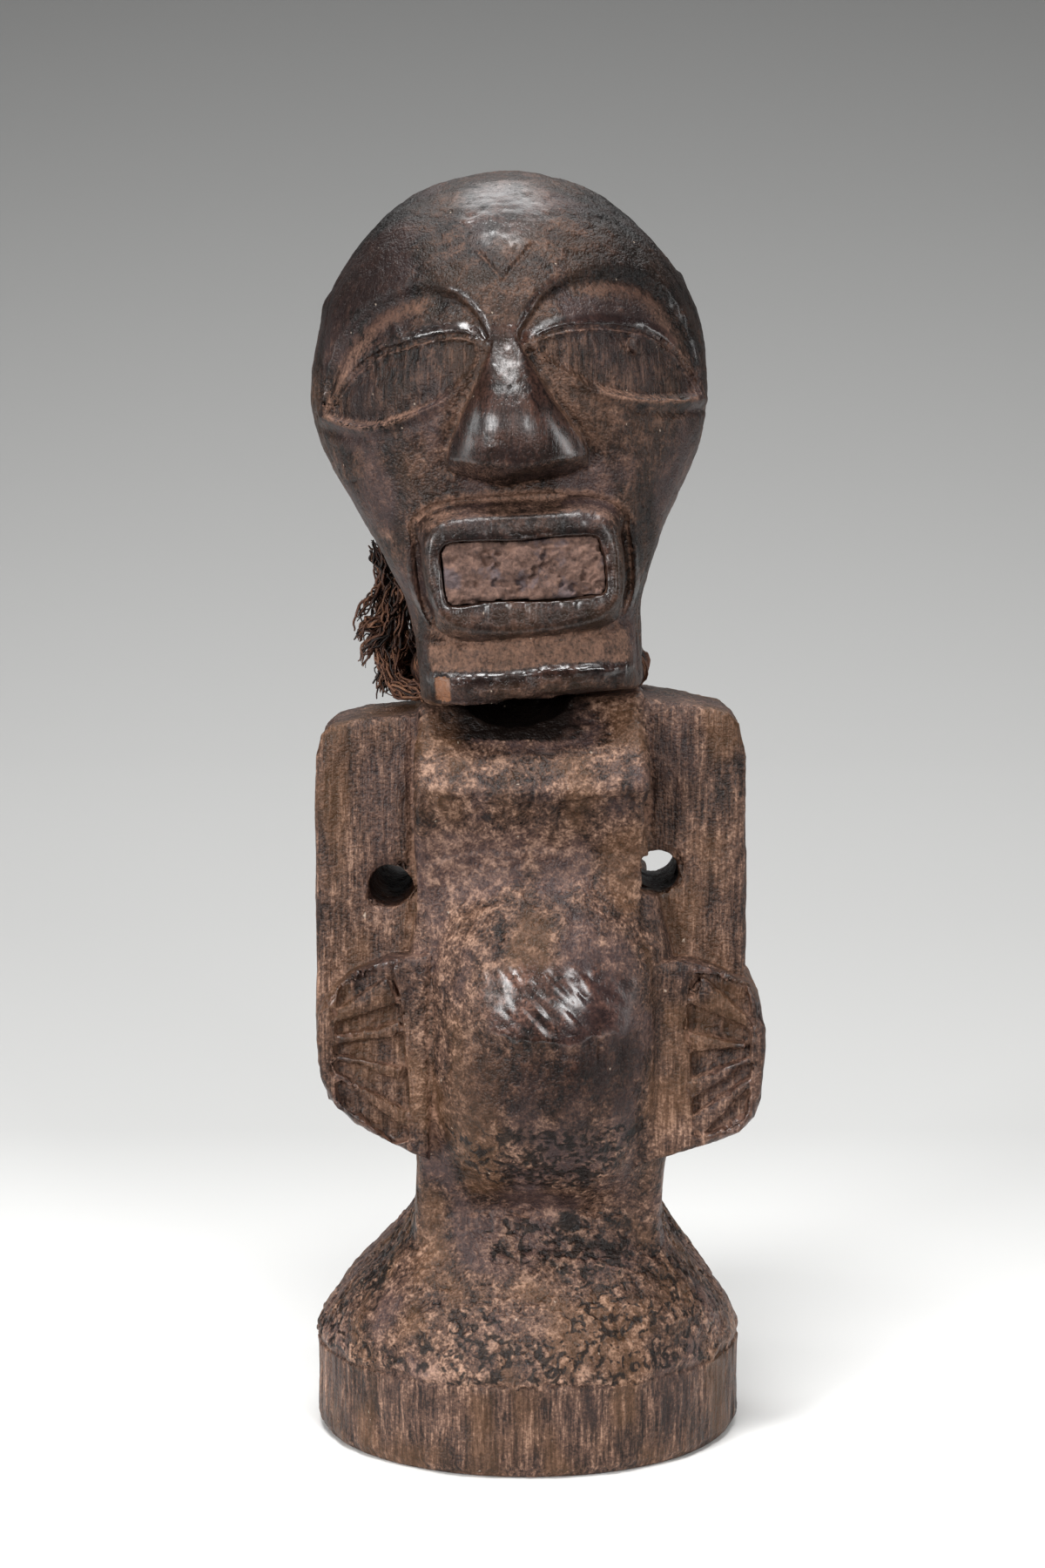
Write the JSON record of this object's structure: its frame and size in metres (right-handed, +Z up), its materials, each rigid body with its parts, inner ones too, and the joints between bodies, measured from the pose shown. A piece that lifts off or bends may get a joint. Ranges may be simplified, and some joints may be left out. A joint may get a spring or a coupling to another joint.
{
  "type": "power figure",
  "caption": "Carved wooden power figure on a domed round base, with hands on a swollen belly, a box mouth packed with paste and a fibre binding with a frayed tuft at the neck.",
  "frame": {"origin": "centre of the flat underside of the round base", "axes": "+Z up along the carving's height, the figure faces -Y, +X to the right of someone facing it"},
  "size_m": [0.0853, 0.0844, 0.2403],
  "materials": {
    "dark_wood": "handled and waxy on the high spots, dusty in the hollows",
    "dry_paste": "rough, dry and crumbly",
    "plant_fibre": "coarse frayed fibre"
  },
  "bodies": {
    "root": {"figure": "dark_wood", "mouth_paste": "dry_paste", "neck_binding": "plant_fibre", "fibre_tuft": "plant_fibre"}
  },
  "joints": []
}
